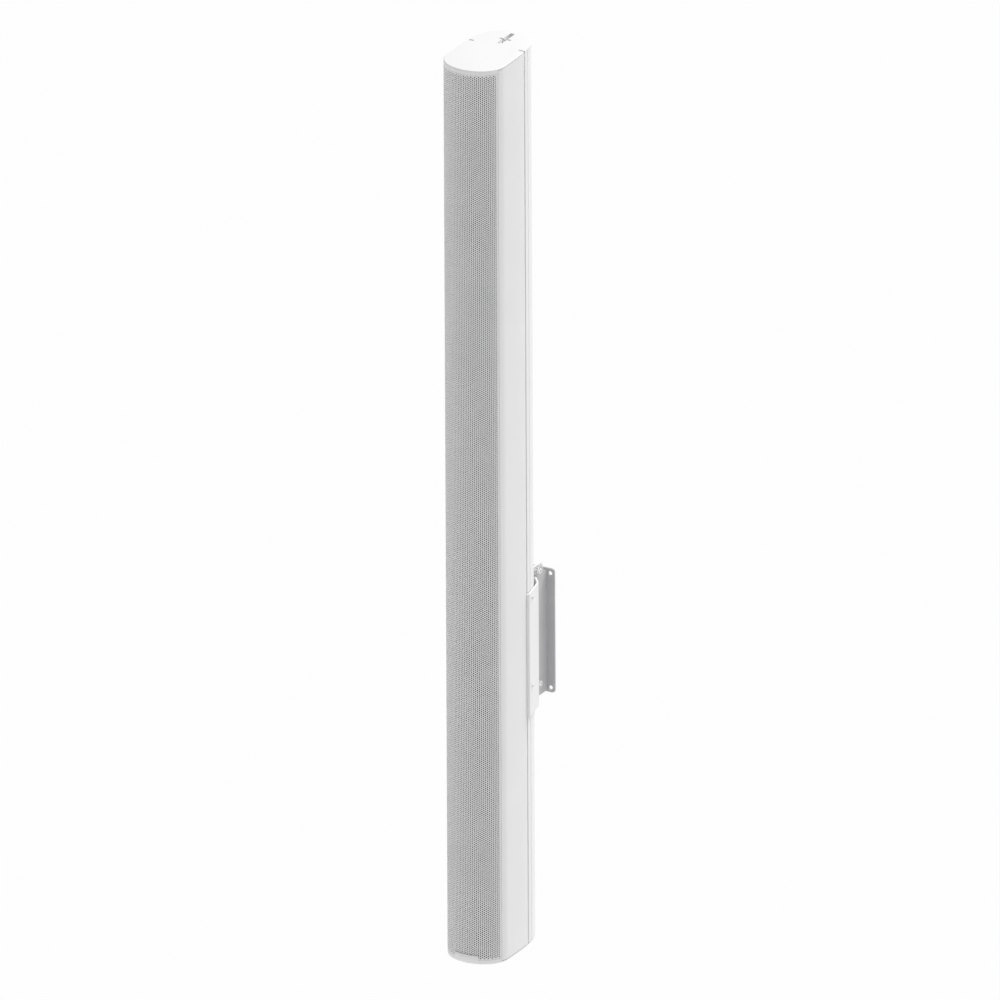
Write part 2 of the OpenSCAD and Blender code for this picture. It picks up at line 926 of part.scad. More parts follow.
arm_front = back_face + 1.6;           // leading edge of the arms behind the saddle
hook_front = back_face - 1.2;          // leading edge of the arms above the saddle
hook_foot = saddle_top + 1.5;
arm_top = lock[1] + 2.2;
plate_foot = -plate_h / 2;
plate_top = plate_h / 2;
weld_step = 2;                         // the channel is this much shorter than the plate at each end

module wall_channel() {
    web_front = -2 * plate_t;
    color(bracket_grey) {
        translate([-arm_x, web_front, plate_foot + weld_step])
            cube([2 * arm_x, plate_t, plate_h - 2 * weld_step]);
        both_arms()
            difference() {
                side_plate(arm_x - plate_t, plate_t)
                    polygon([
                        [web_front + 0.5, plate_foot + weld_step], [arm_front + 4, plate_foot + weld_step],
                        [arm_front, plate_foot + weld_step + 4], [arm_front, hook_foot],
                        [hook_front, hook_foot], [hook_front, arm_top],
                        [lock[0] + 8, arm_top], [web_front + 0.5, plate_top - weld_step]
                    ]);
                across(arm_x - plate_t - overcut, plate_t + 2 * overcut, pivot, bolt_r + fit);
                across(arm_x - plate_t - overcut, plate_t + 2 * overcut, lock, bolt_r);
                translate([arm_x - plate_t - overcut, lock[0] - bolt_r, lock[1]])
                    cube([plate_t + 2 * overcut, bracket_bolt_dia, far]);
            }
    }
}

module wall_plate() {
    corner = 4;
    color(bracket_grey)
        rotate([90, 0, 0])
            linear_extrude(height = plate_t)
                difference() {
                    union() {
                        square([plate_w, plate_h - 2 * corner], center = true);
                        square([plate_w - 2 * corner, plate_h], center = true);
                        for (x = [-1, 1], z = [-1, 1])
                            translate([x * (plate_w / 2 - corner), z * (plate_h / 2 - corner)])
                                circle(r = corner);
                    }
                    for (x = [-bolt_dx / 2, bolt_dx / 2], z = [-bolt_dz / 2, bolt_dz / 2])
                        translate([x, z]) circle(d = bolt_hole_dia);
                }
}

// ---- Output ----

body_extrusion();
baffle();
grille();
grille_cloth();
top_cap();
bottom_cap();
cap_gaskets();
safety_bar();
cap_screws();
badge();
transformer();
transformer_bracket();
terminal_block();
cable_gland();
damping_foam();
driver_screws();
for (i = DRIVERS) {
    driver_frame(i);
    driver_magnet(i);
    driver_cone(i);
}
saddle();
saddle_screws();
pivot_bolts();
pivot_nuts();
wall_channel();
wall_plate();
lock_bolts();
lock_nuts();
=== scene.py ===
# %% [markdown]
# # A wall-hung column loudspeaker
# The object is a tall oval column, 1.2 m high, that hangs on a wall. A white aluminium
# extrusion makes its sides and back. A perforated steel grille makes its front, and a moulded
# cap closes each end. A white saddle grips the two side grooves, and bolts to a grey bracket
# that is screwed to the wall. The frame already holds every part as an exact solid. This
# script gives the parts that show their rounded edges, holes and finishes.

import json
import math

import bmesh
import bpy
import numpy as np
from mathutils import Matrix, Vector
from mathutils import noise as cloud

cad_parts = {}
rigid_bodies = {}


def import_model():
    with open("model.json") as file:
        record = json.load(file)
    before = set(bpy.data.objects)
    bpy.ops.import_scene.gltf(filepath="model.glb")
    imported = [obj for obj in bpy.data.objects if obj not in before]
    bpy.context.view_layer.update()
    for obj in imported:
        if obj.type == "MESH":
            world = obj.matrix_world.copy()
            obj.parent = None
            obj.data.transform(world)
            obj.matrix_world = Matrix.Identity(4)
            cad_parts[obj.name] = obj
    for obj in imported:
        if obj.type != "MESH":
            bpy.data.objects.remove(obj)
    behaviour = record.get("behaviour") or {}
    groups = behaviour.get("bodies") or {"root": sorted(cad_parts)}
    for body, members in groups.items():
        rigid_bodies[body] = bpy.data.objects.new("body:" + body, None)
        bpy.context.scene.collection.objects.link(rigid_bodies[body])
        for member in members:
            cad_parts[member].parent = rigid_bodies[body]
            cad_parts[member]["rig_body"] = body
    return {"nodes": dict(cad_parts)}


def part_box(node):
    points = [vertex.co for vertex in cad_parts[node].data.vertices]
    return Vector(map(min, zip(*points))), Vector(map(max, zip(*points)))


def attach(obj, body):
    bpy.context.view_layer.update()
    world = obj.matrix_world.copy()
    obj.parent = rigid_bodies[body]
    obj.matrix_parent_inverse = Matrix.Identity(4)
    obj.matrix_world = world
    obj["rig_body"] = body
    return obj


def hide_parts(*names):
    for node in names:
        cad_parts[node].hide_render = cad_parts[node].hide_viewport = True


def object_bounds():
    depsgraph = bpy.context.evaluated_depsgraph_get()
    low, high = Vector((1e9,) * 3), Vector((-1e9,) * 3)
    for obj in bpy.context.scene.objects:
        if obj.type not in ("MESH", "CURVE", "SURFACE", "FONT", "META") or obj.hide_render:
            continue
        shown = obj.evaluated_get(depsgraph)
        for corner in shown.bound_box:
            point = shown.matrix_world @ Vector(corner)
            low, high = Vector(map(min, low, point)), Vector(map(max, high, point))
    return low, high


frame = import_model()
cad_low, cad_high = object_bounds()
print("frame from", tuple(round(v, 4) for v in cad_low),
      "to", tuple(round(v, 4) for v in cad_high))

# %% [markdown]
# ## The outline that all the column's parts share
# Seen from above, the column has a short straight stretch on each side, a blunt nose in front
# and a slower taper behind. Each end is a superellipse, which is an ellipse with a power other
# than two. A spline could follow the same shape, but a formula gives the bend of the grille
# at any point, and it stays exact when the sheet is offset.

# %% The plan of the column
MM = 0.001
HALF_WIDTH = 41 * MM
SIDE_FLAT = 20.5 * MM
NOSE_DEPTH = 36 * MM
NOSE_POWER = 2.07
TAIL_DEPTH = 81 * MM
TAIL_POWER = 2.67

shell_low, shell_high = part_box("body_extrusion")
column_y = shell_high.y - TAIL_DEPTH - SIDE_FLAT / 2


def nose_point(turn):
    """A point of the nose's outline. The turn runs from 0 on the left side to pi on the right."""
    c, s = -math.cos(turn), math.sin(turn)
    x = HALF_WIDTH * math.copysign(abs(c) ** (2 / NOSE_POWER), c)
    y = -SIDE_FLAT / 2 - NOSE_DEPTH * abs(s) ** (2 / NOSE_POWER)
    return x, column_y + y


print("middle of the straight sides at y", round(column_y, 5))

# %% [markdown]
# ## Camera
# The column is seen from a little above and from its right. An orthographic camera keeps its
# long edges parallel, as a product drawing does. The lean of a quarter of a degree is a roll
# of the camera about its own axis.

# %% Camera
VIEW_BACK = Vector((0.4529, -0.8006, 0.3923)).normalized()
VIEW_CENTRE = Vector((0, -0.08035, 0.1988))
VIEW_WIDTH = 1.2355
VIEW_ROLL = math.radians(-0.265)
VIEW_DISTANCE = 6
VIEW_REACH = 50

camera_data = bpy.data.cameras.new("camera")
camera_data.type = "ORTHO"
camera_data.ortho_scale = VIEW_WIDTH
camera_data.clip_end = VIEW_REACH
camera = bpy.data.objects.new("camera", camera_data)
bpy.context.scene.collection.objects.link(camera)
turned = (-VIEW_BACK).to_track_quat("-Z", "Y").to_matrix().to_4x4()
camera.matrix_world = (
    Matrix.Translation(VIEW_CENTRE + VIEW_BACK * VIEW_DISTANCE)
    @ turned
    @ Matrix.Rotation(VIEW_ROLL, 4, "Z")
)
bpy.context.scene.camera = camera
print("camera at", tuple(round(v, 3) for v in camera.matrix_world.translation))

# %% [markdown]
# ## Light and floor
# The room is a white studio. A wide lamp stands high on the right and behind, so the top is
# brightest, the right side a little less, and the front is lit only by the room. Because the
# column hangs on a wall, the floor lies a metre below it and shows no contact shadow. The
# camera sees plain white paper behind the column, while the room lights it more softly.

# %% Light and floor
LAMP_FROM = Vector((0.17, 0.43, 0.70))
LAMP_POWER = 2.64
LAMP_SPREAD = math.radians(25)
ROOM_LIGHT = 0.35
FLOOR_PAPER = 0.94
FLOOR_DROP = 1.0
FLOOR_SIZE = 60

lamp_data = bpy.data.lights.new("studio_lamp", "SUN")
lamp_data.energy = LAMP_POWER
lamp_data.angle = LAMP_SPREAD
lamp = bpy.data.objects.new("studio_lamp", lamp_data)
lamp.rotation_euler = LAMP_FROM.to_track_quat("Z", "Y").to_euler()
bpy.context.scene.collection.objects.link(lamp)

world = bpy.data.worlds.new("room")
bpy.context.scene.world = world
world.use_nodes = True
room = world.node_tree
room.nodes.clear()
room_out = room.nodes.new("ShaderNodeOutputWorld")
room_mix = room.nodes.new("ShaderNodeMixShader")
room_path = room.nodes.new("ShaderNodeLightPath")
room_glow = room.nodes.new("ShaderNodeBackground")
room_glow.inputs["Strength"].default_value = ROOM_LIGHT
room_paper = room.nodes.new("ShaderNodeBackground")
for glow in (room_glow, room_paper):
    glow.inputs["Color"].default_value = (1, 1, 1, 1)
room.links.new(room_path.outputs["Is Camera Ray"], room_mix.inputs["Fac"])
room.links.new(room_glow.outputs["Background"], room_mix.inputs[1])
room.links.new(room_paper.outputs["Background"], room_mix.inputs[2])
room.links.new(room_mix.outputs["Shader"], room_out.inputs["Surface"])
bpy.context.scene.view_settings.view_transform = "Standard"

floor_z = cad_low.z - FLOOR_DROP
floor_mesh = bpy.data.meshes.new("studio_floor")
bm = bmesh.new()
bmesh.ops.create_grid(bm, x_segments=1, y_segments=1, size=FLOOR_SIZE)
bmesh.ops.translate(bm, verts=bm.verts, vec=(0, 0, floor_z))
bm.to_mesh(floor_mesh)
bm.free()
paper = bpy.data.materials.new("studio_paper")
paper.use_nodes = True
paper_shader = paper.node_tree.nodes["Principled BSDF"]
paper_shader.inputs["Base Color"].default_value = (FLOOR_PAPER, FLOOR_PAPER, FLOOR_PAPER, 1)
paper_shader.inputs["Roughness"].default_value = 1.0
paper_shader.inputs["Specular IOR Level"].default_value = 0.0
floor_mesh.materials.append(paper)
floor = bpy.data.objects.new("studio_floor", floor_mesh)
bpy.context.scene.collection.objects.link(floor)
print("floor at z", round(floor_z, 3))

# %% [markdown]
# ## How a finish is put together
# Every finish starts from the shader's own colour and roughness. Noise then shifts the colour
# and the roughness a little, and a finer pattern raises the surface by hundredths of a
# millimetre. All patterns read the object's own coordinates, which are metres here, so a
# scale of 1000 makes one ripple in a millimetre.


# %% A node, a link and a pattern
def add(tree, kind, **values):
    """A new node of that kind, with the given settings or input values."""
    node = tree.nodes.new("ShaderNode" + kind)
    for name, value in values.items():
        title = name.replace("_", " ").title()
        if title in node.inputs:
            node.inputs[title].default_value = value
        else:
            setattr(node, name, value)
    return node


def place(tree, stretch=(1, 1, 1)):
    """The object's coordinates, stretched for a pattern."""
    coords = add(tree, "TexCoord")
    mapping = add(tree, "Mapping")
    mapping.inputs["Scale"].default_value = stretch
    tree.links.new(coords.outputs["Object"], mapping.inputs["Vector"])
    return mapping.outputs["Vector"]


def noise(tree, scale, detail=3.0, stretch=(1, 1, 1)):
    """A cloudy pattern from 0 to 1."""
    node = add(tree, "TexNoise", scale=scale, detail=detail)
    tree.links.new(place(tree, stretch), node.inputs["Vector"])
    return node.outputs["Fac"]


def spread(tree, source, low, high, start=0.25, end=0.75):
    """Maps the pattern from start..end to low..high."""
    node = add(tree, "MapRange")
    for name, value in (("From Min", start), ("From Max", end), ("To Min", low), ("To Max", high)):
        node.inputs[name].default_value = value
    tree.links.new(source, node.inputs["Value"])
    return node.outputs["Result"]


def blend_colours(tree, factor, first, second):
    """A mix of two colours, or of a colour and another output, by a pattern."""
    node = add(tree, "Mix", data_type="RGBA")
    tree.links.new(factor, node.inputs["Factor"])
    a, b = [s for s in node.inputs if s.type == "RGBA"][:2]
    for socket, value in ((a, first), (b, second)):
        if isinstance(value, tuple):
            socket.default_value = (*value, 1)
        else:
            tree.links.new(value, socket)
    return [s for s in node.outputs if s.type == "RGBA"][0]


print("pattern helpers ready")


# %% A finish with its colour, roughness and surface
def finish(name, light, dark, rough, metal=0.0, patch=60, grain=900, stretch=(1, 1, 1),
           height=0.02, bump=0.3, shine=0.5):
    """A material whose colour drifts between two colours in patches, with a fine grain on it.

    The roughness drifts between the two values of rough, and height is in millimetres.
    """
    made = bpy.data.materials.new(name)
    made.use_nodes = True
    tree = made.node_tree
    shader = tree.nodes["Principled BSDF"]
    shader.inputs["Metallic"].default_value = metal
    shader.inputs["Specular IOR Level"].default_value = shine
    drift = noise(tree, patch, 4.0, stretch)
    fine = noise(tree, grain, 2.0, stretch)
    colour = blend_colours(tree, spread(tree, drift, 0, 1), light, dark)
    tree.links.new(colour, shader.inputs["Base Color"])
    tree.links.new(spread(tree, drift, *rough), shader.inputs["Roughness"])
    raise_it(tree, shader, fine, height, bump)
    return made


def raise_it(tree, shader, pattern, height, strength):
    """Raises the surface by a pattern. The height is in millimetres."""
    node = add(tree, "Bump", strength=strength, distance=height * MM)
    tree.links.new(pattern, node.inputs["Height"])
    tree.links.new(node.outputs["Normal"], shader.inputs["Normal"])


print("finish ready")

# %% [markdown]
# ## The finishes
# The extrusion, the saddle and the grille are powder coated, which leaves a faint orange peel.
# The end caps are moulded, so they have a fine spark-eroded texture. The wall bracket has a
# darker grey coat, one paint on both its channel and its plate; the channel's copy is painted a
# little lighter, which is painted light. Inside there are bare and plated steels, black paint,
# paper and cloth.

# %% Coats and plastics
white_aluminium = finish("white_powder_coat", (0.93, 0.93, 0.93), (0.905, 0.905, 0.91),
                         (0.46, 0.56), patch=14, grain=700, height=0.02, bump=0.35,
                         shine=0.25)
white_coat = finish("white_saddle_coat", (0.93, 0.93, 0.93), (0.90, 0.90, 0.905),
                    (0.46, 0.56), patch=25, grain=750, height=0.02, bump=0.4, shine=0.3)
white_plastic = finish("white_moulded_plastic", (0.95, 0.95, 0.948), (0.93, 0.93, 0.93),
                       (0.50, 0.60), patch=30, grain=2200, height=0.02, bump=0.35)
grille_paint = finish("grille_powder_coat", (0.91, 0.905, 0.905), (0.87, 0.865, 0.87),
                      (0.45, 0.58), patch=20, grain=1500, height=0.01, bump=0.3)
grey_coat = finish("grey_bracket_coat", (0.55, 0.55, 0.56), (0.50, 0.50, 0.51),
                   (0.42, 0.55), patch=40, grain=800, height=0.03, bump=0.5)
# The channel's coat is the plate's grey painted lighter: painted light on the channel, not a
# second paint.
channel_coat_painted_light = finish("grey_coat_with_painted_light", (0.63, 0.63, 0.64), (0.58, 0.58, 0.59),
                      (0.42, 0.55), patch=40, grain=800, height=0.03, bump=0.5)
black_coat = finish("black_baffle_coat", (0.025, 0.025, 0.027), (0.04, 0.04, 0.042),
                    (0.55, 0.70), patch=30, grain=900, height=0.03, bump=0.5)
black_plastic = finish("black_nylon", (0.02, 0.02, 0.022), (0.035, 0.035, 0.037),
                       (0.40, 0.55), patch=90, grain=1800, height=0.02, bump=0.4)
grey_plastic = finish("grey_terminal_plastic", (0.10, 0.12, 0.12), (0.14, 0.16, 0.16),
                      (0.42, 0.52), patch=80, grain=1600, height=0.02, bump=0.35)
seal_rubber = finish("seal_rubber", (0.035, 0.035, 0.036), (0.06, 0.06, 0.062),
                     (0.75, 0.88), patch=120, grain=1200, height=0.05, bump=0.6)
print("coats and plastics made")

# %% Metals
zinc = finish("zinc_plate", (0.86, 0.87, 0.89), (0.90, 0.89, 0.86), (0.34, 0.48), metal=1.0,
              patch=220, grain=1500, height=0.01, bump=0.25)
badge_metal = finish("brushed_badge", (0.93, 0.93, 0.935), (0.88, 0.88, 0.885), (0.40, 0.52),
                     metal=0.2, patch=60, grain=2500, stretch=(0.04, 1, 1), height=0.01,
                     bump=0.35)
basket_steel = finish("black_pressed_steel", (0.03, 0.03, 0.033), (0.06, 0.06, 0.064),
                      (0.35, 0.50), metal=0.3, patch=120, grain=1100, height=0.02, bump=0.35)
magnet_ferrite = finish("ferrite_magnet", (0.045, 0.044, 0.046), (0.085, 0.084, 0.088),
                        (0.55, 0.75), metal=0.2, patch=300, grain=2600, height=0.05, bump=0.6)
bracket_steel = finish("passivated_steel", (0.55, 0.56, 0.58), (0.48, 0.48, 0.50),
                       (0.30, 0.45), metal=1.0, patch=90, grain=1300, stretch=(1, 1, 0.1),
                       height=0.01, bump=0.3)
print("metals made")

# %% [markdown]
# The line transformer is a stack of thin steel sheets round a taped coil. One band pattern
# draws the edges of the sheets. The coil stands out in front of the stack, so the distance
# from the front says where the tape is. The paper cones and the wadding are fibres, so their
# noise is stretched and stronger.

# %% Laminated core, paper and wadding
TAPE_DEPTH = 8.2 * MM
SHEET_EDGES = 320.0

core_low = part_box("transformer")[0]


def laminated(name):
    """Steel sheets on edge, with a taped coil in front of them."""
    made = finish(name, (0.30, 0.26, 0.21), (0.20, 0.19, 0.18), (0.40, 0.60), metal=0.6,
                  patch=160, grain=1200)
    tree = made.node_tree
    shader = tree.nodes["Principled BSDF"]
    sheets = add(tree, "TexWave", wave_type="BANDS", bands_direction="Y", scale=SHEET_EDGES)
    tree.links.new(place(tree), sheets.inputs["Vector"])
    raise_it(tree, shader, sheets.outputs["Fac"], 0.15, 0.8)
    split = add(tree, "SeparateXYZ")
    tree.links.new(place(tree), split.inputs["Vector"])
    front = add(tree, "Math", operation="LESS_THAN")
    front.inputs[1].default_value = core_low.y + TAPE_DEPTH
    tree.links.new(split.outputs["Y"], front.inputs[0])
    steel = shader.inputs["Base Color"].links[0].from_socket
    tape = blend_colours(tree, front.outputs["Value"], steel, (0.55, 0.38, 0.07))
    tree.links.new(tape, shader.inputs["Base Color"])
    return made


core_steel = laminated("laminated_core")
cone_paper = finish("pressed_paper", (0.020, 0.020, 0.021), (0.050, 0.049, 0.048), (0.70, 0.90),
                    patch=260, grain=1400, stretch=(1, 1, 0.4), height=0.08, bump=0.7)
wadding = finish("polyester_wadding", (0.52, 0.52, 0.49), (0.36, 0.36, 0.34), (0.85, 1.0),
                 patch=140, grain=420, stretch=(1, 1, 0.3), height=1.2, bump=1.0)
print("core, paper and wadding made")

# %% [markdown]
# The cloth behind the grille is a plain open weave of black thread. Two band patterns cross,
# one for the threads that run up and one for those that run round. Where they overlap the
# surface rises, and the gaps between threads stay darker.


# %% Woven cloth
THREADS_PER_MM = 1.4


def woven(name):
    """A plain weave, whose threads run across and up in the object's own coordinates."""
    made = bpy.data.materials.new(name)
    made.use_nodes = True
    tree = made.node_tree
    shader = tree.nodes["Principled BSDF"]
    shader.inputs["Roughness"].default_value = 0.92
    shader.inputs["Sheen Weight"].default_value = 0.15
    scale = THREADS_PER_MM / MM / 3.14
    waves = []
    for direction in ("X", "Z"):
        wave = add(tree, "TexWave", wave_type="BANDS", bands_direction=direction, scale=scale,
                   distortion=0.6, detail_scale=40.0)
        tree.links.new(place(tree), wave.inputs["Vector"])
        waves.append(wave.outputs["Fac"])
    weave = add(tree, "Math", operation="MULTIPLY")
    tree.links.new(waves[0], weave.inputs[0])
    tree.links.new(waves[1], weave.inputs[1])
    colour = blend_colours(tree, weave.outputs["Value"], (0.012, 0.012, 0.013),
                           (0.07, 0.07, 0.072))
    tree.links.new(colour, shader.inputs["Base Color"])
    raise_it(tree, shader, weave.outputs["Value"], 0.2, 0.8)
    return made


black_cloth = woven("black_grille_cloth")
print("cloth made")

# %% [markdown]
# ## Smoothing and rounding a part that keeps its shape
# A part from the frame is a mesh of loose flat triangles. Where its shape is right, a copy is
# merged, its flat areas are joined into single faces, and its edges are rounded where light
# should catch them. The Bevel modifier could do this to the whole part at once, but it limits
# itself to the shortest edge. Picking the edges first lets the large ones be rounded properly.
# The Bevel modifier stays in use for radii of less than half a millimetre, followed by
# weighted normals, so that long flat faces stay evenly shaded.


# %% A finished copy of a part
SMOOTH_ANGLE = math.radians(32)
FLAT_ANGLE = math.radians(0.4)
CORNER_ANGLE = math.radians(60)
SAME_POINT = 0.002 * MM


def shade(mesh, angle=SMOOTH_ANGLE):
    """Smooth faces, with every edge sharper than the angle kept crisp."""
    mesh.polygons.foreach_set("use_smooth", [True] * len(mesh.polygons))
    mesh.set_sharp_from_angle(angle=angle)


def show(piece, mesh, body, material, slot, *nodes):
    """Puts a finished mesh in the scene, riding on its body, in place of the named nodes."""
    obj = bpy.data.objects.new(piece, mesh)
    bpy.context.scene.collection.objects.link(obj)
    mesh.materials.clear()
    mesh.materials.append(material)
    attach(obj, body)
    if nodes:
        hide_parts(*nodes)
    return obj


def merged(node):
    """A bmesh of the part with its triangles joined, and flat areas made single faces."""
    bm = bmesh.new()
    bm.from_mesh(frame["nodes"][node].data)
    bmesh.ops.remove_doubles(bm, verts=bm.verts, dist=SAME_POINT)
    bmesh.ops.dissolve_limit(bm, angle_limit=FLAT_ANGLE, verts=bm.verts, edges=bm.edges,
                             delimit={"NORMAL"})
    return bm


def round_edges(bm, edges, radius, steps):
    """Rounds the given edges of a bmesh."""
    bmesh.ops.bevel(bm, geom=edges, offset=radius, offset_type="OFFSET", segments=steps,
                    profile=0.5, affect="EDGES", clamp_overlap=False, material=-1,
                    miter_outer="ARC")


def corner_edges(bm, low_z, high_z):
    """The outer corners between two heights, where two faces meet sharply."""
    return [e for e in bm.edges
            if len(e.link_faces) == 2 and all(low_z <= v.co.z <= high_z for v in e.verts)
            and e.calc_face_angle(0) > CORNER_ANGLE and e.is_convex]


def finished(piece, node, material, slot, bm=None):
    """Turns the bmesh into a piece that stands for the node."""
    bm = bm or merged(node)
    mesh = bpy.data.meshes.new(piece)
    bm.to_mesh(mesh)
    bm.free()
    shade(mesh)
    body = frame["nodes"][node]["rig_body"]
    obj = show(piece, mesh, body, material, slot, node)
    print(piece, len(mesh.vertices), "vertices")
    return obj


# %% [markdown]
# ## The extrusion
# The body is one length of aluminium, pushed through a die and powder coated. Its profile is
# the same from end to end, with a deep groove in each side for the bracket and a fine groove
# behind it. The die leaves a small radius on each lip of the grooves, which a fine Bevel gives.

# %% Body
SOFT_ANGLE = math.radians(50)
FOLDED_EDGE = 0.25 * MM


def softened(piece, node, material, slot, radius):
    """A finished copy whose sharp edges are rounded by a fine Bevel modifier."""
    obj = finished(piece, node, material, slot)
    bevel = obj.modifiers.new("soft_edges", "BEVEL")
    bevel.width = radius
    bevel.segments = 2
    bevel.limit_method = "ANGLE"
    bevel.angle_limit = SOFT_ANGLE
    bevel.harden_normals = True
    even = obj.modifiers.new("even_shading", "WEIGHTED_NORMAL")
    even.keep_sharp = True


softened("column_shell", "body_extrusion", white_aluminium, "white_aluminium", FOLDED_EDGE)

# %% [markdown]
# ## The end caps
# Each cap is an injection moulding. Its outer edge is rounded by a little over a millimetre,
# and the light runs along that curve. The mouth of the safety slot stays crisp.


# %% End caps
CAP_RADIUS = 1.3 * MM
CAP_FACE_MARGIN = 0.01 * MM
OUTLINE_MARGIN = 0.4 * MM


def on_outline(edge):
    """True if both ends of the edge are on the column's outer outline."""
    for v in edge.verts:
        y = v.co.y - column_y
        if y < -SIDE_FLAT / 2:
            share = (-y - SIDE_FLAT / 2) / NOSE_DEPTH
            half = HALF_WIDTH * max(0, 1 - min(1, share) ** NOSE_POWER) ** (1 / NOSE_POWER)
        else:
            share = max(0, y - SIDE_FLAT / 2) / TAIL_DEPTH
            half = HALF_WIDTH * max(0, 1 - min(1, share) ** TAIL_POWER) ** (1 / TAIL_POWER)
        if abs(v.co.x) < half - OUTLINE_MARGIN:
            return False
    return True


def cap(piece, node, face_z):
    """A cap whose outer rim is rounded, at the height of its face."""
    bm = merged(node)
    corners = corner_edges(bm, face_z - CAP_FACE_MARGIN, face_z + CAP_FACE_MARGIN)
    rim = [e for e in corners if on_outline(e)]
    round_edges(bm, rim, CAP_RADIUS, 5)
    print(piece, "rounded", len(rim), "edges")
    finished(piece, node, white_plastic, "white_plastic", bm)


cap("top_end_cap", "top_cap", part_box("top_cap")[1].z)
cap("bottom_end_cap", "bottom_cap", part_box("bottom_cap")[0].z)

# %% [markdown]
# ## Badge
# A blank plate sits at the foot of the grille. It is bent to the curve of the nose, and its
# edges are broken by about a third of a millimetre.

# %% Badge
BADGE_RADIUS = 0.3 * MM

bm = merged("badge")
badge_low, badge_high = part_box("badge")
round_edges(bm, corner_edges(bm, badge_low.z, badge_high.z), BADGE_RADIUS, 2)
finished("blank_badge", "badge", badge_metal, "badge_metal", bm)

# %% [markdown]
# ## Saddle and wall bracket
# Both halves of the bracket are cut and folded from steel sheet. A punched sheet has crisp
# edges that the coat softens, so only a quarter of a millimetre is taken off them.


# %% Bracket parts
softened("grip_saddle", "saddle", white_coat, "white_coat", FOLDED_EDGE)
softened("bracket_channel", "wall_channel", channel_coat_painted_light, "grey_coat", FOLDED_EDGE)
softened("bracket_plate", "wall_plate", grey_coat, "grey_coat", FOLDED_EDGE)

# %% [markdown]
# ## Fasteners, safety bar and gland
# The bolts and screws are zinc plated steel, turned or cold headed, so their edges have a
# radius of a tenth to a third of a millimetre. The gland is moulded nylon. Copies of the parts
# are right in shape, and smooth shading with a fine Bevel makes them read as round.

# %% Small parts
# Each node's piece, material and slot, and the radius of its edges in millimetres
SMALL_PARTS = {
    "cap_screws": ("cap_screw_set", zinc, "zinc", 0.1),
    "saddle_screws": ("clamp_screw_set", zinc, "zinc", 0.15),
    "pivot_bolts": ("pivot_bolt_pair", zinc, "zinc", 0.25),
    "lock_bolts": ("lock_bolt_pair", zinc, "zinc", 0.25),
    "pivot_nuts": ("pivot_nut_pair", zinc, "zinc", 0.2),
    "lock_nuts": ("lock_nut_pair", zinc, "zinc", 0.2),
    "safety_bar": ("safety_cross_bar", zinc, "zinc", 0.3),
    "cable_gland": ("nylon_gland", black_plastic, "black_plastic", 0.4),
}
for node, (piece, material, slot, radius) in SMALL_PARTS.items():
    softened(piece, node, material, slot, radius * MM)

# %% [markdown]
# ## The perforated grille
# The grille is a steel sheet with round holes in staggered rows, bent round the nose and
# folded in at its sides. A boolean with thousands of cylinders would be slow and rough. An
# alpha pattern would lose the thickness of the holes. So one hexagonal tile with a hole is
# built once and repeated flat, then the flat sheet is bent and given its thickness. The holes
# are six-sided here, which reads as round at this size. Plain tiles make the solid border.
# The sheet is made as sections that meet edge to edge, because one mesh would be too heavy.

# %% Sizes of the perforation
HOLE_PITCH = 2.8 * MM
HOLE_WIDTH = 1.9 * MM
HOLE_SIDES = 6
SHEET = 1.2 * MM
COLUMN_STEP = HOLE_PITCH * math.sqrt(3) / 2
SECTIONS = 7
EDGE_Y = column_y - 23.6 * MM
BORDER = 0.4 * MM
PLAIN_TILES = 3
FOLD_IN = 2.4 * MM
FOLD_BACK = 2.6 * MM
TILE_GAP = 0.02 * MM
CUT_MARGIN = 0.001 * MM
EDGE_MARGIN = 0.01 * MM
HOLE_ANGLE = math.radians(40)

grille_low, grille_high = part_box("grille")
grille_height = grille_high.z - grille_low.z
rows = int((grille_height - 2 * BORDER - HOLE_PITCH / 2) / HOLE_PITCH)
first_row_z = (grille_low.z + grille_high.z) / 2 - (rows - 0.5) / 2 * HOLE_PITCH
section_rows = [round(rows * i / SECTIONS) for i in range(SECTIONS + 1)]
print(rows, "rows of holes in", SECTIONS, "sections")

# %% [markdown]
# The flat sheet is bent by looking up each point's place along the nose. The table of places
# is the outline itself, measured from the middle of the nose to each side.

# %% Places along the nose
NOSE_POINTS = 4001

turns = np.linspace(0, math.pi, NOSE_POINTS)
nose = np.array([nose_point(t) for t in turns])
nose = nose[nose[:, 1] <= EDGE_Y]
steps = np.hypot(*np.diff(nose, axis=0).T)
along = np.concatenate([[0], np.cumsum(steps)])
along -= along[-1] / 2
half_sheet = along[-1]
hole_columns = 2 * int((half_sheet - BORDER - HOLE_WIDTH / 2) / COLUMN_STEP) + 1
print("flat width", round(2 * half_sheet / MM, 1), "mm, with", hole_columns, "columns of holes")


# %% One tile with a hole, and one without
def tile(bm, holed):
    """A hexagon about the origin, of the pitch's width, with or without its hole."""
    ring = bmesh.ops.create_circle(bm, segments=6, radius=HOLE_PITCH / math.sqrt(3),
                                   cap_ends=not holed)["verts"]
    outer = list({e for v in ring for e in v.link_edges})
    bmesh.ops.subdivide_edges(bm, edges=outer, cuts=1)
    if holed:
        edges = bm.edges[:]
        hole = bmesh.ops.create_circle(bm, segments=HOLE_SIDES, radius=HOLE_WIDTH / 2)["verts"]
        edges += list({e for v in hole for e in v.link_edges})
        bmesh.ops.bridge_loops(bm, edges=edges)
    bmesh.ops.rotate(bm, verts=bm.verts, matrix=Matrix.Rotation(math.radians(30), 3, "Z"))
    bmesh.ops.recalc_face_normals(bm, faces=bm.faces)
    if bm.faces[:][0].normal.z < 0:
        bmesh.ops.reverse_faces(bm, faces=bm.faces)


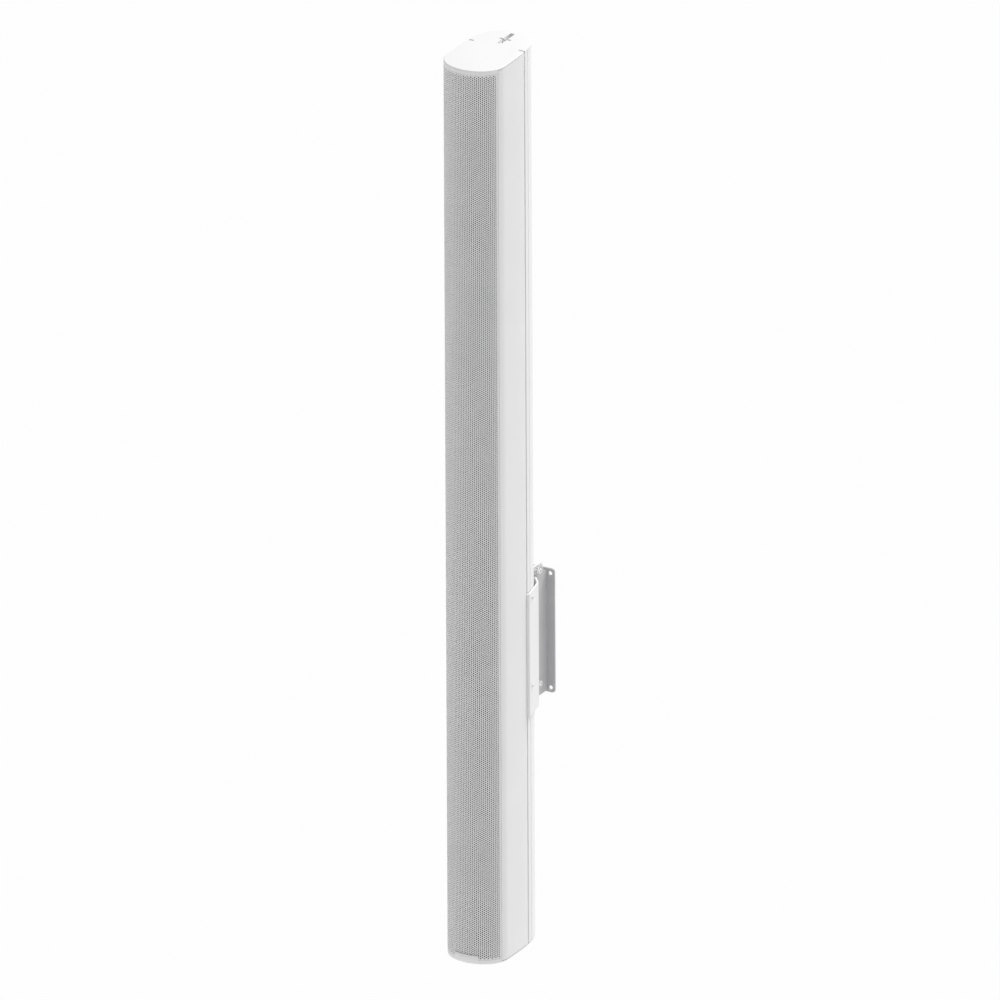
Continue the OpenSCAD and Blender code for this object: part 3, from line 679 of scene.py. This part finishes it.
def tile_mesh(holed):
    """The tile as a mesh that can be stamped into the sheet."""
    bm = bmesh.new()
    tile(bm, holed)
    mesh = bpy.data.meshes.new("tile")
    bm.to_mesh(mesh)
    bm.free()
    return mesh


holed_tile, plain_tile = tile_mesh(True), tile_mesh(False)
print("a holed tile has", len(holed_tile.polygons), "faces")


# %% A flat section of the sheet
def verts_of(geom):
    """The vertices in a list of mixed geometry."""
    return [g for g in geom if isinstance(g, bmesh.types.BMVert)]


def stamp(bm, mesh, x, z):
    """Adds a tile at a place on the flat sheet and returns its geometry."""
    before = len(bm.verts), len(bm.edges), len(bm.faces)
    bm.from_mesh(mesh)
    parts = [list(seq)[n:] for seq, n in zip((bm.verts, bm.edges, bm.faces), before)]
    bmesh.ops.translate(bm, verts=parts[0], vec=(x, z, 0))
    return parts[0] + parts[1] + parts[2]


def stacked(bm, geom, count):
    """Repeats a tile upwards and returns the whole stack."""
    stack = list(geom)
    for i in range(1, count):
        copy = bmesh.ops.duplicate(bm, geom=geom)["geom"]
        bmesh.ops.translate(bm, verts=verts_of(copy), vec=(0, i * HOLE_PITCH, 0))
        stack += copy
    return stack


def flat_section(index):
    """Tiles for one section: a stack of holes repeated sideways between plain stacks."""
    bm = bmesh.new()
    start, stop = section_rows[index], section_rows[index + 1]
    count = stop - start
    foot = PLAIN_TILES if index == 0 else 0
    head = PLAIN_TILES if index == SECTIONS - 1 else 0
    z = first_row_z + start * HOLE_PITCH
    side = (hole_columns - 1) // 2
    stack = stacked(bm, stamp(bm, holed_tile, 0, z), count)
    if foot:
        stack += stacked(bm, stamp(bm, plain_tile, 0, z - foot * HOLE_PITCH), foot)
    if head:
        stack += stacked(bm, stamp(bm, plain_tile, 0, z + count * HOLE_PITCH), head)
    plain = stacked(bm, stamp(bm, plain_tile, 0, z - foot * HOLE_PITCH), foot + count + head)
    for column in range(-side - PLAIN_TILES, side + PLAIN_TILES + 1):
        source = stack if abs(column) <= side else plain
        copy = bmesh.ops.duplicate(bm, geom=source)["geom"]
        lift = HOLE_PITCH / 2 if column % 2 else 0
        bmesh.ops.translate(bm, verts=verts_of(copy), vec=(column * COLUMN_STEP, lift, 0))
    bmesh.ops.delete(bm, geom=verts_of(stack) + verts_of(plain), context="VERTS")
    bmesh.ops.remove_doubles(bm, verts=bm.verts, dist=TILE_GAP)
    return bm


def cut(bm, point, outwards):
    """Cuts the sheet at a line and drops what lies beyond it."""
    bmesh.ops.bisect_plane(bm, geom=bm.verts[:] + bm.edges[:] + bm.faces[:], dist=CUT_MARGIN,
                           plane_co=point, plane_no=outwards, clear_outer=True)


# %% [markdown]
# The bend moves every point of the flat sheet to its place on the nose. The straight side
# edges are then pulled inwards and back to make the fold that stiffens the real sheet. The
# Solidify modifier gives the thickness last, so that the holes get walls. Its even offset is
# left off, because it throws the corners of the folds far out where two sections meet.


# %% Bend, fold and thicken
def bend(bm):
    """Rolls the flat sheet round the nose."""
    for v in bm.verts:
        s, z = v.co.x, v.co.y
        v.co = (np.interp(s, along, nose[:, 0]), np.interp(s, along, nose[:, 1]), z)


def fold(bm, edges, side):
    """Pulls one side edge of the sheet inwards, and then back."""
    for move in ((-side * FOLD_IN, 0, 0), (0, FOLD_BACK, 0)):
        pulled = bmesh.ops.extrude_edge_only(bm, edges=edges)["geom"]
        bmesh.ops.translate(bm, verts=verts_of(pulled), vec=move)
        edges = [g for g in pulled if isinstance(g, bmesh.types.BMEdge)]


def grille_section(index):
    """One finished section of the grille."""
    bm = flat_section(index)
    cut(bm, (half_sheet, 0, 0), (1, 0, 0))
    cut(bm, (-half_sheet, 0, 0), (-1, 0, 0))
    if index == 0:
        cut(bm, (0, grille_low.z, 0), (0, -1, 0))
    if index == SECTIONS - 1:
        cut(bm, (0, grille_high.z, 0), (0, 1, 0))
    sides = {}
    for side in (-1, 1):
        sides[side] = [e for e in bm.edges if e.is_boundary
                       and all(abs(v.co.x - side * half_sheet) < EDGE_MARGIN for v in e.verts)]
    bend(bm)
    for side, edges in sides.items():
        fold(bm, edges, side)
    mesh = bpy.data.meshes.new(f"grille_sheet_{index + 1}")
    bm.normal_update()
    bm.to_mesh(mesh)
    bm.free()
    obj = show(mesh.name, mesh, "column", grille_paint, "grille_steel", "grille")
    thick = obj.modifiers.new("thickness", "SOLIDIFY")
    thick.thickness = SHEET
    thick.offset = -1
    solid = bpy.data.meshes.new_from_object(
        obj.evaluated_get(bpy.context.evaluated_depsgraph_get()))
    obj.modifiers.clear()
    obj.data = solid
    solid.name = mesh.name
    bpy.data.meshes.remove(mesh)
    shade(solid, HOLE_ANGLE)
    return obj


sheets = [grille_section(i) for i in range(SECTIONS)]
print("faces in each section:", [len(o.data.polygons) for o in sheets])

# %% [markdown]
# ## Cloth behind the grille
# A black cloth is stretched behind the sheet to keep dust out and to hide the drivers. It
# takes the shape that its frame gives it, so a merged copy of the part is enough. It lies
# inside the sheet's curve, so it is cut a little narrower than the sheet.

cloth = finished("grille_cloth_sheet", "grille_cloth", black_cloth, "black_cloth")

# %% [markdown]
# ## Wadding
# A mat of polyester lines the back of the column and damps the sound behind the drivers.
# Real wadding has no crisp edges, so the mat is remeshed, its faces are pushed in by up to
# the loft in a cloud pattern, and its corners are smoothed.

# %% Wadding
WADDING_LOFT = 1.6 * MM
WADDING_FACE = 3.5 * MM
CLOUD_SCALE = 45

mat = finished("damping_mat", "damping_foam", wadding, "wadding")
remesh = mat.modifiers.new("even_faces", "REMESH")
remesh.voxel_size = WADDING_FACE
remesh.use_smooth_shade = True
soft = bpy.data.meshes.new_from_object(mat.evaluated_get(bpy.context.evaluated_depsgraph_get()))
mat.modifiers.clear()
bm = bmesh.new()
bm.from_mesh(soft)
bm.normal_update()
for v in bm.verts:
    v.co -= v.normal * WADDING_LOFT * (0.5 + 0.5 * cloud.noise(v.co * CLOUD_SCALE))
bmesh.ops.smooth_vert(bm, verts=bm.verts, factor=0.3, use_axis_x=True, use_axis_y=True,
                      use_axis_z=True)
bm.to_mesh(mat.data)
bm.free()
bpy.data.meshes.remove(soft)
print("damping mat has", len(mat.data.polygons), "faces")

# %% [markdown]
# ## Parts that keep their own meshes
# Drivers, seals and the parts inside are right as they are. Each gets its finish.

# %% Finishes for the carried parts
CARRIED = {
    "baffle": black_coat,
    "cap_gaskets": seal_rubber,
    "transformer": core_steel,
    "transformer_bracket": bracket_steel,
    "terminal_block": grey_plastic,
    "driver_screws": zinc,
}
DRIVER_PARTS = {
    "driver_frame": basket_steel,
    "driver_magnet": magnet_ferrite,
    "driver_cone": cone_paper,
}

for node, obj in frame["nodes"].items():
    material = CARRIED.get(node) or DRIVER_PARTS.get(node[:-3])
    if material:
        obj.data.materials.clear()
        obj.data.materials.append(material)
